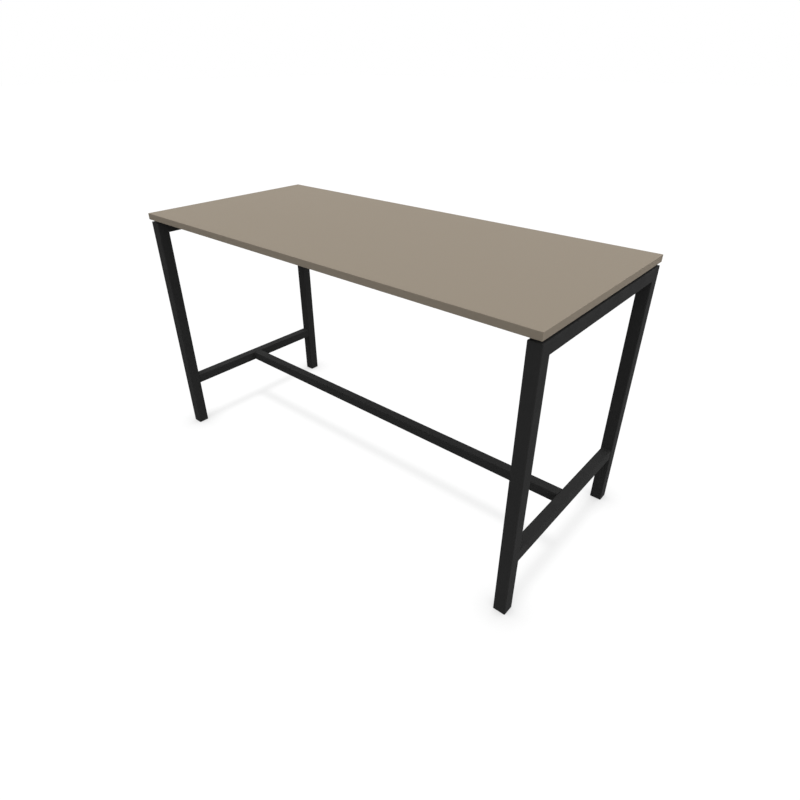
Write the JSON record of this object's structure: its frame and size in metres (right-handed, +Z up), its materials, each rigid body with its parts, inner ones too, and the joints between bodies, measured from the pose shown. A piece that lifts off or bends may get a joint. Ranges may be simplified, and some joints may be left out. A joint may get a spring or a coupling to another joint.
{
  "type": "standing meeting table",
  "caption": "Bar-height meeting table: thin rectangular top floating above a square-tube frame of closed end loops joined by a low footrest bar, on levelling feet.",
  "frame": {"origin": "on the floor, under the middle of the top", "axes": "+X along the table to its right end, +Y across it to the rear, +Z up"},
  "size_m": [1.8, 0.8, 1.01],
  "materials": {
    "top_laminate": "melamine-faced chipboard, matt taupe with a fine stipple",
    "edge_band": "2 mm ABS edge band in the board's taupe, matt",
    "frame_coat": "fine-texture black powder coat on welded steel tube",
    "bare_steel": "mill-finish steel, inside the tubes",
    "zinc_plate": "bright zinc plate on steel fasteners",
    "black_oxide": "black-oxide socket button screws",
    "spacer_nylon": "black nylon spacers",
    "foot_nylon": "black nylon foot pads"
  },
  "bodies": {
    "table": {"tabletop_panel": "top_laminate", "front_edge_band": "edge_band", "rear_edge_band": "edge_band", "left_edge_band": "edge_band", "right_edge_band": "edge_band", "front_left_leg": "frame_coat", "rear_left_leg": "frame_coat", "front_right_leg": "frame_coat", "rear_right_leg": "frame_coat", "left_top_rail": "frame_coat", "right_top_rail": "frame_coat", "left_lower_rail": "frame_coat", "right_lower_rail": "frame_coat", "left_footrest_spigot": "bare_steel", "right_footrest_spigot": "bare_steel", "footrest_bar": "frame_coat", "footrest_screws": "black_oxide", "front_beam": "frame_coat", "rear_beam": "frame_coat", "front_left_beam_plate": "frame_coat", "rear_left_beam_plate": "frame_coat", "front_right_beam_plate": "frame_coat", "rear_right_beam_plate": "frame_coat", "beam_bolts": "zinc_plate", "beam_blind_nuts": "zinc_plate", "top_spacers": "spacer_nylon", "top_inserts": "zinc_plate", "top_screws": "zinc_plate", "levelling_nuts": "frame_coat", "front_left_foot_plate": "frame_coat", "rear_left_foot_plate": "frame_coat", "front_right_foot_plate": "frame_coat", "rear_right_foot_plate": "frame_coat"},
    "front_left_foot_base": {"front_left_foot_pad": "foot_nylon"},
    "front_left_foot_screw": {"front_left_foot_stem": "zinc_plate"},
    "rear_left_foot_base": {"rear_left_foot_pad": "foot_nylon"},
    "rear_left_foot_screw": {"rear_left_foot_stem": "zinc_plate"},
    "front_right_foot_base": {"front_right_foot_pad": "foot_nylon"},
    "front_right_foot_screw": {"front_right_foot_stem": "zinc_plate"},
    "rear_right_foot_base": {"rear_right_foot_pad": "foot_nylon"},
    "rear_right_foot_screw": {"rear_right_foot_stem": "zinc_plate"}
  },
  "joints": [
    {"name": "front_left_foot_travel", "type": "slide", "parent": "table", "child": "front_left_foot_base", "axis": [0, 0, -1], "range_m": [0, 0.012]},
    {"name": "front_left_foot_turn", "type": "hinge", "parent": "front_left_foot_base", "child": "front_left_foot_screw", "pos_m": [-0.8775, -0.37, 0.0111], "axis": [0, 0, -1], "range_deg": [0, 2880]},
    {"name": "rear_left_foot_travel", "type": "slide", "parent": "table", "child": "rear_left_foot_base", "axis": [0, 0, -1], "range_m": [0, 0.012]},
    {"name": "rear_left_foot_turn", "type": "hinge", "parent": "rear_left_foot_base", "child": "rear_left_foot_screw", "pos_m": [-0.8775, 0.37, 0.0111], "axis": [0, 0, -1], "range_deg": [0, 2880]},
    {"name": "front_right_foot_travel", "type": "slide", "parent": "table", "child": "front_right_foot_base", "axis": [0, 0, -1], "range_m": [0, 0.012]},
    {"name": "front_right_foot_turn", "type": "hinge", "parent": "front_right_foot_base", "child": "front_right_foot_screw", "pos_m": [0.8775, -0.37, 0.0111], "axis": [0, 0, -1], "range_deg": [0, 2880]},
    {"name": "rear_right_foot_travel", "type": "slide", "parent": "table", "child": "rear_right_foot_base", "axis": [0, 0, -1], "range_m": [0, 0.012]},
    {"name": "rear_right_foot_turn", "type": "hinge", "parent": "rear_right_foot_base", "child": "rear_right_foot_screw", "pos_m": [0.8775, 0.37, 0.0111], "axis": [0, 0, -1], "range_deg": [0, 2880]}
  ],
  "couplings": [
    {"joint": "front_left_foot_turn", "follows": "front_left_foot_travel", "rad_per_m": 4188.8},
    {"joint": "rear_left_foot_turn", "follows": "rear_left_foot_travel", "rad_per_m": 4188.8},
    {"joint": "front_right_foot_turn", "follows": "front_right_foot_travel", "rad_per_m": 4188.8},
    {"joint": "rear_right_foot_turn", "follows": "rear_right_foot_travel", "rad_per_m": 4188.8}
  ]
}
